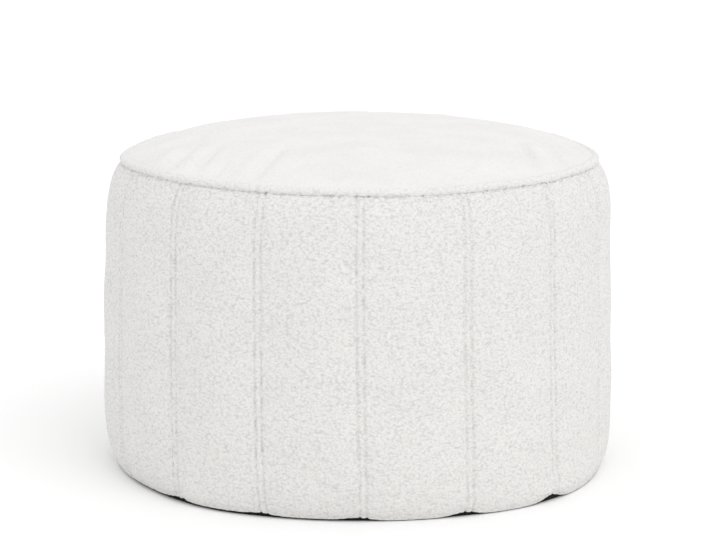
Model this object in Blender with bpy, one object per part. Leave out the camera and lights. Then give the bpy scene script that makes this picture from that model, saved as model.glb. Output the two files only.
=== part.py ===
"""Round bean bag footstool in curly fleece, as its maker cuts and sews it.

A crowned top panel and a wall of sixteen upright panels meet under a rolled piping, and a dark base panel
closes the foot. Each panel is a filled solid: the beads press it out between its seams, and the seams
draw it in.

Metres, +Z up. The origin is the middle of the foot, on the surface that the footstool stands on, and the
first seam faces -Y, the front.
"""

import math

import bmesh
import bpy

# Driving dimensions
BODY_RADIUS = 0.250  # the wall at its widest
SEAM_HEIGHT = 0.303  # underside of the piping and of the top panel
CROWN_HEIGHT = 0.024  # the middle of the top panel above that
PIPING_DIAMETER = 0.0084
BASE_THICKNESS = 0.004
CLEARANCE = 0.0003  # between two pieces that are sewn together

# The wall's barrel outline: how far each end is drawn in, and over what share of the height
FOOT_DRAW_IN = 0.0127
FOOT_REACH = 0.24
FOOT_CURVE = 3.0
SHOULDER_DRAW_IN = 0.0188
SHOULDER_START = 0.60
SHOULDER_CURVE = 3.3

# The channel where two panels are sewn together
CHANNEL_DEPTH = 0.0026
CHANNEL_CURVE = 8.0

# The crown: how high its rim stands against the piping, and how full it is
RIM_RISE = 0.0055
CROWN_CURVE = 2.8

# How far in from its rim the base panel starts to turn up off its flat foot
FOOT_TURN = 0.0045

# One row for each seam and the panel to the right of it, going round from the front seam.
# seam: the seam's place in degrees off its even share. puff: the panel's extra fullness in mm.
PANELS = (
    # seam, puff
    (0.0, 0.1),
    (1.4, -0.2),
    (2.4, -0.4),
    (1.3, 0.0),
    (0.2, -0.1),
    (0.4, -0.3),
    (-0.5, 0.0),
    (0.1, -0.5),
    (0.4, -0.1),
    (-0.3, -0.3),
    (0.3, 0.0),
    (-0.2, -0.2),
    (0.5, -0.4),
    (-0.1, 0.0),
    (0.1, -0.3),
    (0.0, 0.0),
)

# Where the wall's mesh has a row of points, as shares of its height, and across a panel from seam to seam
WALL_ROWS = (0.0, 0.02, 0.05, 0.09, 0.15, 0.24, 0.42, 0.60, 0.72, 0.81, 0.88, 0.935, 0.975, 1.0)
PANEL_COLUMNS = (-1.0, -0.96, -0.86, -0.6, -0.2, 0.2, 0.6, 0.86, 0.96, 1.0)
TURNED_STEPS = 80
CROWN_ROWS = 7
PIPING_SIDES = 8
FOOT_TURN_ROWS = 2
SHARP_EDGE = math.radians(40)

WALL_BOTTOM = BASE_THICKNESS + CLEARANCE
WALL_TOP = SEAM_HEIGHT - CLEARANCE
PIPING_RADIUS = PIPING_DIAMETER / 2
PIPING_RING = BODY_RADIUS - SHOULDER_DRAW_IN
TOP_RADIUS = PIPING_RING - PIPING_RADIUS - CLEARANCE
BASE_RADIUS = BODY_RADIUS - FOOT_DRAW_IN


def clear_scene():
    for obj in list(bpy.data.objects):
        bpy.data.objects.remove(obj, do_unlink=True)


def cloth(name, colour, roughness):
    """A plain cloth of one linear colour."""
    material = bpy.data.materials.new(name)
    material.use_nodes = True
    shader = material.node_tree.nodes["Principled BSDF"]
    shader.inputs["Base Color"].default_value = (*colour, 1.0)
    shader.inputs["Roughness"].default_value = roughness
    shader.inputs["Metallic"].default_value = 0.0
    return material


def add_piece(name, bm, material):
    """Makes an object of a finished bmesh, with its faces pointing outwards."""
    bmesh.ops.recalc_face_normals(bm, faces=bm.faces)
    mesh = bpy.data.meshes.new(name)
    bm.to_mesh(mesh)
    bm.free()
    mesh.materials.append(material)
    mesh.shade_smooth()
    mesh.set_sharp_from_angle(angle=SHARP_EDGE)
    piece = bpy.data.objects.new(name, mesh)
    bpy.context.scene.collection.objects.link(piece)
    return piece


def turned(name, outline, closed, material):
    """Turns an outline of (radius, height) points about the Z axis."""
    bm = bmesh.new()
    points = [bm.verts.new((radius, 0.0, height)) for radius, height in outline]
    pairs = list(zip(points, points[1:]))
    if closed:
        pairs.append((points[-1], points[0]))
    edges = [bm.edges.new(pair) for pair in pairs]
    bmesh.ops.spin(
        bm,
        geom=points + edges,
        cent=(0, 0, 0),
        axis=(0, 0, 1),
        angle=2 * math.pi,
        steps=TURNED_STEPS,
        use_merge=True,
    )
    bmesh.ops.remove_doubles(bm, verts=bm.verts, dist=1e-6)
    return add_piece(name, bm, material)


def wall_radius(height):
    """The barrel outline of the wall, in the middle of a panel."""
    share = (height - WALL_BOTTOM) / (WALL_TOP - WALL_BOTTOM)
    foot = max(0.0, 1 - share / FOOT_REACH) ** FOOT_CURVE
    shoulder = max(0.0, (share - SHOULDER_START) / (1 - SHOULDER_START)) ** SHOULDER_CURVE
    return BODY_RADIUS - FOOT_DRAW_IN * foot - SHOULDER_DRAW_IN * shoulder


def seam_angle(number):
    """The angle of a seam about the Z axis. Seam 0 faces the front."""
    turns, place = divmod(number, len(PANELS))
    even_share = 2 * math.pi / len(PANELS)
    return -math.pi / 2 + 2 * math.pi * turns + even_share * place + math.radians(PANELS[place][0])


def make_side_panel(number, material):
    """One panel of the wall, filled to the middle of the footstool, with flat faces at its two seams."""
    start, end = seam_angle(number), seam_angle(number + 1)
    middle, half_width = (start + end) / 2, (end - start) / 2
    puff = PANELS[number][1] / 1000
    bm = bmesh.new()

    grid = []
    for share in WALL_ROWS:
        height = WALL_BOTTOM + share * (WALL_TOP - WALL_BOTTOM)
        fullness = max(0.0, math.sin(math.pi * share))
        row = []
        for across in PANEL_COLUMNS:
            channel = CHANNEL_DEPTH * math.sqrt(fullness) * abs(across) ** CHANNEL_CURVE
            radius = wall_radius(height) + puff * fullness - channel
            reach = half_width - math.asin(CLEARANCE / 2 / radius)
            angle = middle + across * reach
            row.append(bm.verts.new((radius * math.cos(angle), radius * math.sin(angle), height)))
        grid.append(row)
    tip_radius = CLEARANCE / 2 / math.sin(half_width)
    tip = (tip_radius * math.cos(middle), tip_radius * math.sin(middle))
    foot_tip = bm.verts.new((*tip, WALL_BOTTOM))
    head_tip = bm.verts.new((*tip, WALL_TOP))

    for lower, upper in zip(grid, grid[1:]):
        for column in range(len(PANEL_COLUMNS) - 1):
            bm.faces.new((lower[column], lower[column + 1], upper[column + 1], upper[column]))
    bm.faces.new([row[0] for row in grid] + [head_tip, foot_tip])
    bm.faces.new([row[-1] for row in grid] + [head_tip, foot_tip])
    bm.faces.new(grid[0] + [foot_tip])
    bm.faces.new(grid[-1] + [head_tip])
    return add_piece(f"side_panel_{number + 1:02d}", bm, material)


def make_top_panel(material):
    """The crowned top, filled down to the seam, with a short upright rim against the piping."""
    rim_height = SEAM_HEIGHT + RIM_RISE
    outline = [(0.0, SEAM_HEIGHT), (TOP_RADIUS, SEAM_HEIGHT)]
    for row in range(CROWN_ROWS + 1):
        share = math.cos(math.pi / 2 * row / CROWN_ROWS)
        rise = (CROWN_HEIGHT - RIM_RISE) * (1 - share**CROWN_CURVE)
        outline.append((TOP_RADIUS * share if row < CROWN_ROWS else 0.0, rim_height + rise))
    return turned("top_panel", outline, False, material)


def make_piping(material):
    """The rolled strip that lies on the top edge of the wall, round the top panel."""
    outline = []
    for side in range(PIPING_SIDES):
        angle = 2 * math.pi * side / PIPING_SIDES
        outline.append(
            (
                PIPING_RING + PIPING_RADIUS * math.cos(angle),
                SEAM_HEIGHT + PIPING_RADIUS + PIPING_RADIUS * math.sin(angle),
            )
        )
    return turned("piping", outline, True, material)


def make_base_panel(material):
    """The dark base cloth: a flat foot whose edge turns up to the wall."""
    outline = [(0.0, 0.0)]
    for row in range(FOOT_TURN_ROWS + 1):
        angle = math.pi / 2 * row / FOOT_TURN_ROWS
        radius = BASE_RADIUS - FOOT_TURN * (1 - math.sin(angle))
        outline.append((radius, BASE_THICKNESS * (1 - math.cos(angle))))
    outline.append((0.0, BASE_THICKNESS))
    return turned("base_panel", outline, False, material)


def main():
    clear_scene()
    fleece = cloth("curly_fleece", (0.86, 0.855, 0.84), 0.95)
    rolled_fleece = cloth("rolled_fleece", (0.84, 0.835, 0.82), 0.95)
    base_cloth = cloth("base_cloth", (0.012, 0.012, 0.013), 0.85)
    make_top_panel(fleece)
    make_piping(rolled_fleece)
    for number in range(len(PANELS)):
        make_side_panel(number, fleece)
    make_base_panel(base_cloth)


main()
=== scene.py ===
# %% [markdown]
# # A round bean bag footstool in curly white fleece
#
# The real footstool is a bag of light beads. Its cover is cut from curly fleece: sixteen upright panels
# for the wall, one round panel for the top, and a rolled piping sewn in between them. A black base cloth
# closes the foot. This file dresses the finished CAD solids in that cover, one piece at a time.
#
# The CAD solids come in first. They are the frame: every size below is read from them, so that nothing
# has to be fitted afterwards.

# %% Bring in the frame
import math
import random

import bpy
import numpy as np
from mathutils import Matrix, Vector, noise


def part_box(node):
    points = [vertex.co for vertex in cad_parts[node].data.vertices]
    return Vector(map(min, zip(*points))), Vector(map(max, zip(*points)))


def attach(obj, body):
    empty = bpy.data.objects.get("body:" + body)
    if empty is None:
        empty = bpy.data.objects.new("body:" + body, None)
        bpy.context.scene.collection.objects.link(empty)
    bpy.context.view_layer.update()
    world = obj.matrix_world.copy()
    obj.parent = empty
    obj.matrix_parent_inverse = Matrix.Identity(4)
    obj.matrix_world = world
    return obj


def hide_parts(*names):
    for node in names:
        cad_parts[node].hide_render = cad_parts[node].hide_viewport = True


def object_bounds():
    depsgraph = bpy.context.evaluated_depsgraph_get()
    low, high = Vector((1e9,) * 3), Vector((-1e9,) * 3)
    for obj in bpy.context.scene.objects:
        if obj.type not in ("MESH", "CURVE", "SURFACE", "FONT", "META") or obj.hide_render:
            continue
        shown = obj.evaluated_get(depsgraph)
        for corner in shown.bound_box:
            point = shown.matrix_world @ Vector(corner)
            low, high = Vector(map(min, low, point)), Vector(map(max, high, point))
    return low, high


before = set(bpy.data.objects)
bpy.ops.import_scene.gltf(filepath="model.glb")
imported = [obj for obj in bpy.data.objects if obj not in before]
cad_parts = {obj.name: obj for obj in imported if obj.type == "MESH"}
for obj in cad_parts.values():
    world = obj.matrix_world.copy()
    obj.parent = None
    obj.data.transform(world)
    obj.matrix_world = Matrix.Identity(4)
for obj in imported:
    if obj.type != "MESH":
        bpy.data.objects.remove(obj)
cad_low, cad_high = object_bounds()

MM = 0.001
print("frame:", len(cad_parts), "solids,", [round(side, 3) for side in cad_high - cad_low])

# %% [markdown]
# ## Measure the frame
#
# A maker would lay a tape on the bag. Here the boxes of the CAD solids give the sizes of the piping, the
# base, the top and the wall.

# %% Sizes read from the solids
PANEL_COUNT = 16

piping_low, piping_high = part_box("piping")
base_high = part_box("base_panel")[1]
top_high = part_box("top_panel")[1]

PIPING_RADIUS = (piping_high.z - piping_low.z) / 2
PIPING_RING = piping_high.x - PIPING_RADIUS
SEAM_HEIGHT = piping_low.z
HEM_RADIUS = base_high.x
BASE_THICKNESS = base_high.z
TOP_RADIUS = top_high.x
TOP_HEIGHT = top_high.z
WALL_RADIUS = (cad_high.y - cad_low.y) / 2
print("wall radius", round(WALL_RADIUS, 4), "m, piping", round(2 * PIPING_RADIUS / MM, 1), "mm thick")

# %% [markdown]
# ### Where the seams are
#
# The outer edges of the side panels give the angle of each seam. The seams aren't quite evenly spaced,
# because hand-guided sewing never is.


# %% Angles of the seams
def side_node(number):
    """The name of a side panel's CAD solid. The panels are counted from 0, and their names from 1."""
    return f"side_panel_{number + 1:02d}"


def points_of(piece):
    """The piece's points, as rows of x, y and z."""
    flat = np.empty(len(piece.data.vertices) * 3, np.float32)
    piece.data.vertices.foreach_get("co", flat)
    return flat.reshape(-1, 3).astype(float)


def measure_seams():
    """The angle of each seam about the Z axis in radians, with the first one again after a full turn."""
    angles = []
    for number in range(PANEL_COUNT):
        points = points_of(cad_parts[side_node(number)])
        skin = points[np.hypot(points[:, 0], points[:, 1]) > 0.9 * HEM_RADIUS]  # without its inner edge
        middle = math.atan2(skin[:, 1].mean(), skin[:, 0].mean())
        off_middle = np.arctan2(skin[:, 1], skin[:, 0]) - middle
        angles.append(middle + ((off_middle + np.pi) % (2 * np.pi) - np.pi).min())
    angles = np.unwrap(angles)
    return np.append(angles, angles[0] + 2 * np.pi)


SEAMS = measure_seams()
print("seams at", np.degrees(SEAMS).round(1))

# %% [markdown]
# ## Camera
#
# The camera comes early, because it decides how fine the detail has to be. It stands three metres away
# with a long lens, a little above the footstool, so the upright lines stay almost parallel. A short lens
# close by would show more of the top, and would make the foot look small.

# %% Camera
CAMERA_PLACE = (-0.0025, -3.0, 0.809)
CAMERA_TILT = 0.2045  # radians below the horizon
CAMERA_LENS = 157.3

bpy.ops.object.camera_add(location=CAMERA_PLACE, rotation=(math.pi / 2 - CAMERA_TILT, 0, 0))
camera = bpy.context.object
camera.name = "camera"
camera.data.lens = CAMERA_LENS
camera.data.clip_end = 60  # metres, so that the far floor isn't cut off
bpy.context.scene.camera = camera
print("camera tilt", round(math.degrees(CAMERA_TILT), 1), "degrees")

# %% [markdown]
# ## Small helpers
#
# A few helpers do the repeated work. The first three are for materials. One turns a colour code into the
# linear values that a shader wants, one starts a material, and one adds a node with its settings and links.


# %% Helpers for materials
def colour(code):
    """A colour such as "f2efe9", turned from sRGB to the linear values of a shader."""
    parts = [int(code[start : start + 2], 16) / 255 for start in (0, 2, 4)]
    return (*(p / 12.92 if p <= 0.04045 else ((p + 0.055) / 1.055) ** 2.4 for p in parts), 1.0)


def start_material(name):
    """A new material, with its node tree and its shader."""
    material = bpy.data.materials.new(name)
    material.use_nodes = True
    return material, material.node_tree, material.node_tree.nodes["Principled BSDF"]


def add(tree, kind, inputs=None, **settings):
    """Adds a node with its settings. inputs give its sockets, by name or number, a value or a link."""
    node = tree.nodes.new(kind)
    for name, value in settings.items():
        setattr(node, name, value)
    for name, value in (inputs or {}).items():
        if isinstance(value, bpy.types.NodeSocket):
            tree.links.new(value, node.inputs[name])
        else:
            node.inputs[name].default_value = value
    return node


print("a middle grey is", [round(part, 3) for part in colour("808080")])

# %% [markdown]
# The other helpers are for meshes. They start a piece, start an edit and end it with all faces pointing
# outwards, write moved points back to a mesh, apply a modifier, and give a noise that is the same in every
# run.


# %% Helpers for meshes
def start_piece(piece=None):
    """Leaves nothing selected but this piece, so that an operator acts on nothing else."""
    if bpy.context.mode != "OBJECT":
        bpy.ops.object.mode_set(mode="OBJECT")
    bpy.ops.object.select_all(action="DESELECT")
    if piece:
        piece.select_set(True)
        bpy.context.view_layer.objects.active = piece


def edit(piece):
    """Starts edit mode on the piece, with all of it selected."""
    start_piece(piece)
    bpy.ops.object.mode_set(mode="EDIT")
    bpy.ops.mesh.select_all(action="SELECT")


def face_outwards():
    """Turns all faces of the mesh in edit mode outwards, and leaves edit mode."""
    bpy.ops.mesh.select_all(action="SELECT")
    bpy.ops.mesh.normals_make_consistent(inside=False)
    bpy.ops.object.mode_set(mode="OBJECT")


def set_points(piece, points):
    """Moves the piece's points to these places."""
    piece.data.vertices.foreach_set("co", np.asarray(points, np.float32).ravel())
    piece.data.update()


def apply_modifier(piece, kind, **settings):
    """Adds a modifier with its settings, and applies it."""
    start_piece(piece)
    modifier = piece.modifiers.new(kind.lower(), kind)
    for name, value in settings.items():
        setattr(modifier, name, value)
    bpy.ops.object.modifier_apply(modifier=modifier.name)


def steady_noise(places, size, seed):
    """Smooth noise from -1 to 1 at each place, with features of about this size in metres."""
    shift = Vector((seed * 7.31, seed * 3.17, seed * 5.73))  # each seed reads another part of the noise
    return np.array([noise.noise(Vector(place) / size + shift) for place in places])


print("the noise at the origin is", steady_noise([(0, 0, 0)], size=1.0, seed=1).round(3))

# %% [markdown]
# ## Studio
#
# The footstool stands on a wide white floor, in a white studio. The world is the white tent round it, and
# one broad lamp far off at the front right gives the soft shading. A Sun lamp does that: its light comes
# from a wide patch of the sky, and it falls on the floor evenly, so the floor stays white to the horizon.
# A small lamp close by would give each curl of the fleece a hard shadow, and leave the far floor grey.

# %% Floor and light
FLOOR_SIZE = 60  # metres, so that its edge is far past the horizon
FLOOR_COLOUR, TENT_COLOUR = "f8f8f8", "ffffff"
LAMP_ROUND, LAMP_UP = math.radians(35), math.radians(50)  # to the right of the camera, and above the floor
LAMP_WIDTH = math.radians(45)
LAMP_STRENGTH = 0.62
WORLD_STRENGTH = 1.0

bpy.context.scene.view_settings.view_transform = "Standard"

start_piece()
bpy.ops.mesh.primitive_plane_add(size=FLOOR_SIZE)
floor = bpy.context.object
floor.name = "studio_floor"
# Matt white paint: it scatters light evenly and mirrors nothing, so the floor shows only the soft shadow.
floor_material, _, shader = start_material("painted_studio_floor")
shader.inputs["Base Color"].default_value = colour(FLOOR_COLOUR)
shader.inputs["Roughness"].default_value = 1.0
shader.inputs["Specular IOR Level"].default_value = 0.0
floor.data.materials.append(floor_material)

world = bpy.data.worlds.new("studio_tent")
world.use_nodes = True
world.node_tree.nodes["Background"].inputs["Color"].default_value = colour(TENT_COLOUR)
world.node_tree.nodes["Background"].inputs["Strength"].default_value = WORLD_STRENGTH
bpy.context.scene.world = world

bpy.ops.object.light_add(type="SUN", rotation=(math.pi / 2 - LAMP_UP, 0, LAMP_ROUND))
lamp = bpy.context.object
lamp.name = "broad_lamp"
lamp.data.angle = LAMP_WIDTH
lamp.data.energy = LAMP_STRENGTH
print("lamp", round(math.degrees(LAMP_UP)), "degrees up, floor", FLOOR_SIZE, "m")

# %% [markdown]
# ## Fleece
#
# Curly fleece is a knitted polyester whose pile is steamed into curls 3 to 4 mm across. It has no shine:
# light enters the pile, scatters from fibre to fibre and leaves in all directions. The tips are bright,
# and the roots, between the curls, are painted a little greyer: that is painted shade, where the curls
# shade each other. The relief of the curls is in the mesh, and it leaves a number called "pile" on each
# point, from 0 at a root to 1 at a tip.

# %% Fleece colours and sizes
# the roots' colours are painted shade between the curls, and the tips have the fleece's own colour
FLEECE_ROOT_SHADE, FLEECE_TIP = "d1d0ce", "e6e5e3"
TOP_ROOT_SHADE, TOP_TIP = "e1e0de", "e6e5e3"  # the light falls fully on the top, so less shade is painted at its roots
ROLLED_ROOT_SHADE, ROLLED_TIP = "d9d8d6", "e6e5e3"  # rolled round its cord, the pile opens: less painted shade at its roots
CURL_SIZE = 3.4 * MM
CURL_SQUASH = 1.4  # the curls lie along the knitted rows, so they are wider than high
CURL_STRAY = 0.6 * CURL_SIZE  # how far the noise pulls a curl out of shape
CELL_SCALE = 1.3 / CURL_SIZE  # a surface passes close to only some of the points, so they are set closer
CURL_TOP, CURL_FALL = 0.55, 0.8  # the height of a curl's top, and how steeply it falls to its roots
LINT_HEIGHT = 0.35  # the height of the fibres on a curl
PILE_SHARE = 0.2  # how much the mesh's own relief counts in the painted shade
ROOT_LEVEL, TIP_LEVEL = 0.25, 0.85  # the heights that have the painted shade of the root and the colour of the tip
FIBRE_SIZE = 1.1 * MM  # real fibres are 0.02 mm thick, and this is the finest that shows
SHADE_PATCH = 45 * MM  # the pile is stroked a little this way and that, in patches of this size
print("curls", CURL_SIZE / MM, "mm wide and", round(CURL_SIZE / CURL_SQUASH / MM, 1), "mm high")

# %% [markdown]
# ### Its material
#
# The mesh is too coarse to round each curl off, so the material does that. A Voronoi texture gives the
# distance to the nearest of many scattered points. Squared and turned over, that is a round knob for each
# curl, and a noise pulls the knobs out of shape. An edge-distance Voronoi would draw a dark outline round
# each curl, like dried mud, which fleece doesn't have. The colour reads this height together with "pile"
# and paints shade where it is low, so colour and shape agree. Single fibres are far too fine to model, so a
# fine noise in the height stands for them.


# %% Fleece material
def fleece_material(name, root, tip, dull, relief):
    """Fleece: painted shade at the roots, colour at the tips, duller patches, and a bump this high in metres.
    """
    material, tree, shader = start_material(name)
    centre = add(tree, "ShaderNodeTexCoord").outputs["Object"]
    flat = add(tree, "ShaderNodeMapping", {"Vector": centre, "Scale": (1.0, 1.0, CURL_SQUASH)})
    place = flat.outputs["Vector"]

    # curls: round knobs, pulled out of shape by a noise of their own size
    stray = add(tree, "ShaderNodeTexNoise", {"Vector": place, "Scale": 1 / CURL_SIZE, "Detail": 1.0})
    pull = {0: stray.outputs["Color"], 1: (CURL_STRAY,) * 3, 2: place}
    pulled = add(tree, "ShaderNodeVectorMath", pull, operation="MULTIPLY_ADD")
    cells = add(
        tree, "ShaderNodeTexVoronoi", {"Vector": pulled.outputs["Vector"], "Scale": CELL_SCALE}, feature="F1"
    )
    distance = cells.outputs["Distance"]  # squared, so that a curl is round on top
    dip = add(tree, "ShaderNodeMath", {0: distance, 1: distance}, operation="MULTIPLY")
    grain = {"Vector": place, "Scale": 1 / FIBRE_SIZE, "Detail": 2.0, "Roughness": 0.6}
    fibres = add(tree, "ShaderNodeTexNoise", grain)
    on_curl = {0: fibres.outputs["Fac"], 1: LINT_HEIGHT, 2: CURL_TOP}
    lint = add(tree, "ShaderNodeMath", on_curl, operation="MULTIPLY_ADD")
    fall = {0: dip.outputs["Value"], 1: -CURL_FALL, 2: lint.outputs["Value"]}
    height = add(tree, "ShaderNodeMath", fall, operation="MULTIPLY_ADD").outputs["Value"]

    # the mesh's own curls deepen the painted shade at the same roots
    pile = add(tree, "ShaderNodeAttribute", attribute_name="pile").outputs["Fac"]
    depth = add(tree, "ShaderNodeMath", {0: pile, 1: PILE_SHARE, 2: height}, operation="MULTIPLY_ADD")
    # painted shade: the ramp darkens the low parts of each curl towards the root's colour
    curls = add(tree, "ShaderNodeValToRGB", {"Fac": depth.outputs["Value"]})
    for stop, level, code in zip(curls.color_ramp.elements, (ROOT_LEVEL, TIP_LEVEL), (root, tip)):
        stop.position, stop.color = level, colour(code)

    # very faint dull patches, as in any light pile: such a noise lies mostly between 0.35 and 0.65
    patches = add(tree, "ShaderNodeTexNoise", {"Vector": place, "Scale": 1 / SHADE_PATCH, "Detail": 2.0})
    shade = add(tree, "ShaderNodeValToRGB", {"Fac": patches.outputs["Fac"]})
    for stop, level, code in zip(shade.color_ramp.elements, (0.35, 0.65), (dull, "ffffff")):
        stop.position, stop.color = level, colour(code)
    layers = {0: 1.0, 6: curls.outputs["Color"], 7: shade.outputs["Color"]}
    tinted = add(tree, "ShaderNodeMix", layers, data_type="RGBA", blend_type="MULTIPLY")
    tree.links.new(tinted.outputs[2], shader.inputs["Base Color"])

    bump = add(tree, "ShaderNodeBump", {"Height": height, "Strength": 1.0, "Distance": relief})
    tree.links.new(bump.outputs["Normal"], shader.inputs["Normal"])

    # no shine, and a trace of sheen: loose fibre ends lighten the edges of the footstool
    shader.inputs["Roughness"].default_value = 1.0
    shader.inputs["Specular IOR Level"].default_value = 0.1
    shader.inputs["Sheen Weight"].default_value = 0.1
    shader.inputs["Sheen Roughness"].default_value = 0.6
    return material


fleece = fleece_material(
    "polyester_curly_fleece", FLEECE_ROOT_SHADE, FLEECE_TIP, dull="fdfdfd", relief=0.5 * MM
)
# a copy for the top, which the light falls on from above: less shade is painted at its roots
top_lit_fleece = fleece_material(
    "polyester_curly_fleece_lit_top", TOP_ROOT_SHADE, TOP_TIP, dull="fbfbfb", relief=0.15 * MM
)
# the piping's copy of the fleece, with less painted shade at its roots
rolled_fleece = fleece_material(
    "polyester_curly_fleece_rolled", ROLLED_ROOT_SHADE, ROLLED_TIP, dull="fdfdfd", relief=0.5 * MM
)
print("materials:", fleece.name, top_lit_fleece.name, rolled_fleece.name)

# %% [markdown]
# ## The wall, as flat cloth
#
# The sixteen wall panels are made as one sheet first, because cloth that is sewn together moves together.
# A grid is the plainest start. It is rolled into a tube by giving each of its points an angle and a
# height. A sheet rolled this way keeps a column of points exactly on each seam, which a sculpted tube
# would not.
#
# The cage is coarse, with squares about 10 mm wide, because a simulation and a subdivision come later.

# %% Sizes of the wall
COLUMNS = 10  # squares across a panel
ROWS = 30  # squares from hem to piping
HIDDEN_ROWS = 2  # squares of the hem that turn in under the wall

STITCH_OFFSET = 3.3 * MM  # from a seam to each of the two rows of stitches beside it
PILE_DEPTH = 1.1 * MM
SEAM_LEAN = 4.5 * MM  # the seams lean to the right by this much on their way down
SEAM_TWIST = 2.5 * MM  # and the whole wall is turned to the right by this much
FOOT_REACH, FOOT_CURVE = 0.24, 3.6  # the foot is drawn in over this share of the height
BELLY, TAPER = 0.27, 4.5 * MM  # from the belly up, the wall narrows by this much
SHOULDER_START, SHOULDER_CURVE = 0.62, 6.6  # and the shoulder from this share up
CHANNEL_DEPTH, CHANNEL_CURVE = 2.4 * MM, 6.0  # each seam draws the wall in between two puffed panels
TUCK_DEPTH, TUCK_REACH = 2.6 * MM, 3.6 * MM  # the wall's top edge goes in under the piping

WALL_FOOT = 1.0 * MM
WALL_HEAD = SEAM_HEIGHT + 1.2 * MM
HEAD_RADIUS = PIPING_RING + 1.8 * MM
print("wall from", WALL_FOOT / MM, "to", round(WALL_HEAD / MM, 1), "mm high")

# %% [markdown]
# ### Its outline
#
# The outline of the tube is the barrel of the CAD solids: full in the middle, drawn in at both ends. Its
# rows of points are evenly spaced along the cloth and not up the wall, so that the squares stay alike
# where the wall curves in. The seams aren't quite upright, since sewing pulls each panel a little askew.


# %% Outline, seams and rows
CLOSE_ROW, NEXT_ROW = 2.5 * MM, 8 * MM  # the first two rows along the cloth from each of its edges


def barrel(share):
    """The wall's radius at each share of its height."""
    foot = np.clip(1 - share / FOOT_REACH, 0, 1) ** FOOT_CURVE
    narrowing = TAPER * np.clip((share - BELLY) / (1 - BELLY), 0, 1)
    shoulder = np.clip((share - SHOULDER_START) / (1 - SHOULDER_START), 0, 1) ** SHOULDER_CURVE
    drawn_in = (WALL_RADIUS - TAPER - HEAD_RADIUS) * shoulder
    tuck = TUCK_DEPTH * np.exp(-(((1 - share) * (WALL_HEAD - WALL_FOOT) / TUCK_REACH) ** 2))
    return WALL_RADIUS - (WALL_RADIUS - HEM_RADIUS) * foot - narrowing - drawn_in - tuck


def seam_shift(share):
    """How far the seams stand from their even places at each share of the height, in radians."""
    return (SEAM_TWIST + SEAM_LEAN * (0.5 - share)) / WALL_RADIUS


def even_rows():
    """Shares of the height that are evenly spaced along the cloth, with a close row at each edge."""
    shares = np.linspace(0, 1, 2000)
    steps = np.hypot(np.diff(barrel(shares)), np.diff(shares) * (WALL_HEAD - WALL_FOOT))
    along = np.concatenate([[0], np.cumsum(steps)])
    print("cloth from hem to piping:", round(along[-1] / MM), "mm")
    middle = np.linspace(NEXT_ROW, along[-1] - NEXT_ROW, ROWS - 3)
    rows = np.concatenate([[0, CLOSE_ROW], middle, [along[-1] - CLOSE_ROW, along[-1]]])
    return np.interp(rows, along, shares)


def panel_columns():
    """Shares of a panel's width: a narrow column beside each seam, and even ones between."""
    narrow = 2 * STITCH_OFFSET / (2 * np.pi * WALL_RADIUS / PANEL_COUNT)
    return np.concatenate([[0], np.linspace(narrow, 1 - narrow, COLUMNS - 1), [1]])


print("half-way up, the wall's radius is", round(float(barrel(0.5)), 4), "m")

# %% [markdown]
# ### Its hem
#
# At the foot the cloth turns in as a hem. The hem clears the floor a little more where two panels meet,
# since the seam there is four cloths thick and pulls it up. Hand-guided sewing makes every seam different,
# so the clearances are a table, and a soft bump round each seam joins them.

# %% Hem
# One row for each seam and the panel after it, going round from the front towards +X:
# how far the hem clears the floor at the seam, and in the middle of the panel, in mm
HEM_CLEARANCE = (
    (3.7, 0.5),
    (4.5, 0.6),
    (6.0, 0.5),
    (0.9, 0.6),
    (3.4, 1.2),
    (3.8, 1.6),
    (3.2, 1.0),
    (3.9, 0.7),
    (3.5, 1.4),
    (3.7, 0.8),
    (3.3, 0.6),
    (3.8, 1.5),
    (4.0, 0.9),
    (1.5, 2.4),
    (4.8, 2.3),
    (3.9, 1.6),
)
HEM_PULL_REACH = 13 * MM  # how far from a seam the hem is pulled up
# The rows at the hem: the row, how far it stands above the hem, and how far it is turned in, in mm
HEM_TURN = ((1, 2.5, 0.0), (0, 0.0, 0.5), (-1, 0.4, 2.5), (-2, 5.0, 4.0))


def hem_height(angle):
    """The height of the hem at each angle about the Z axis."""
    turn = (angle - SEAMS[0]) % (2 * np.pi) + SEAMS[0]
    panel = np.clip(np.searchsorted(SEAMS, turn, side="right") - 1, 0, PANEL_COUNT - 1)
    at_seam, at_middle = np.array(HEM_CLEARANCE)[panel].T * MM
    at_next_seam = np.array(HEM_CLEARANCE)[(panel + 1) % PANEL_COUNT, 0] * MM
    from_start = (turn - SEAMS[panel]) * HEM_RADIUS
    from_end = (SEAMS[panel + 1] - turn) * HEM_RADIUS
    pull_start = np.exp(-((from_start / HEM_PULL_REACH) ** 2))
    pull_end = np.exp(-((from_end / HEM_PULL_REACH) ** 2))
    return at_middle + (at_seam - at_middle) * pull_start + (at_next_seam - at_middle) * pull_end


print("the hem clears the floor by up to", max(max(pair) for pair in HEM_CLEARANCE), "mm")

# %% [markdown]
# ### Roll it
#
# Each point of the flat grid knows its column and its row. The column gives the angle, the row gives the
# height, and the outline gives the radius. All the points move at once, as columns of numbers, which is
# far quicker than one by one.

# %% Roll the sheet into a tube
start_piece()
bpy.ops.mesh.primitive_grid_add(
    x_subdivisions=COLUMNS * PANEL_COUNT, y_subdivisions=ROWS + HIDDEN_ROWS, size=1
)
wall = bpy.context.object
wall.name = "fleece_wall"

flat = points_of(wall)
column = np.rint((flat[:, 0] + 0.5) * COLUMNS * PANEL_COUNT).astype(int)
row = np.rint((flat[:, 1] + 0.5) * (ROWS + HIDDEN_ROWS)).astype(int) - HIDDEN_ROWS
panel = np.minimum(column // COLUMNS, PANEL_COUNT - 1)
step = column - panel * COLUMNS
share = even_rows()[np.clip(row, 0, None)]
across = panel_columns()[step]

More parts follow.
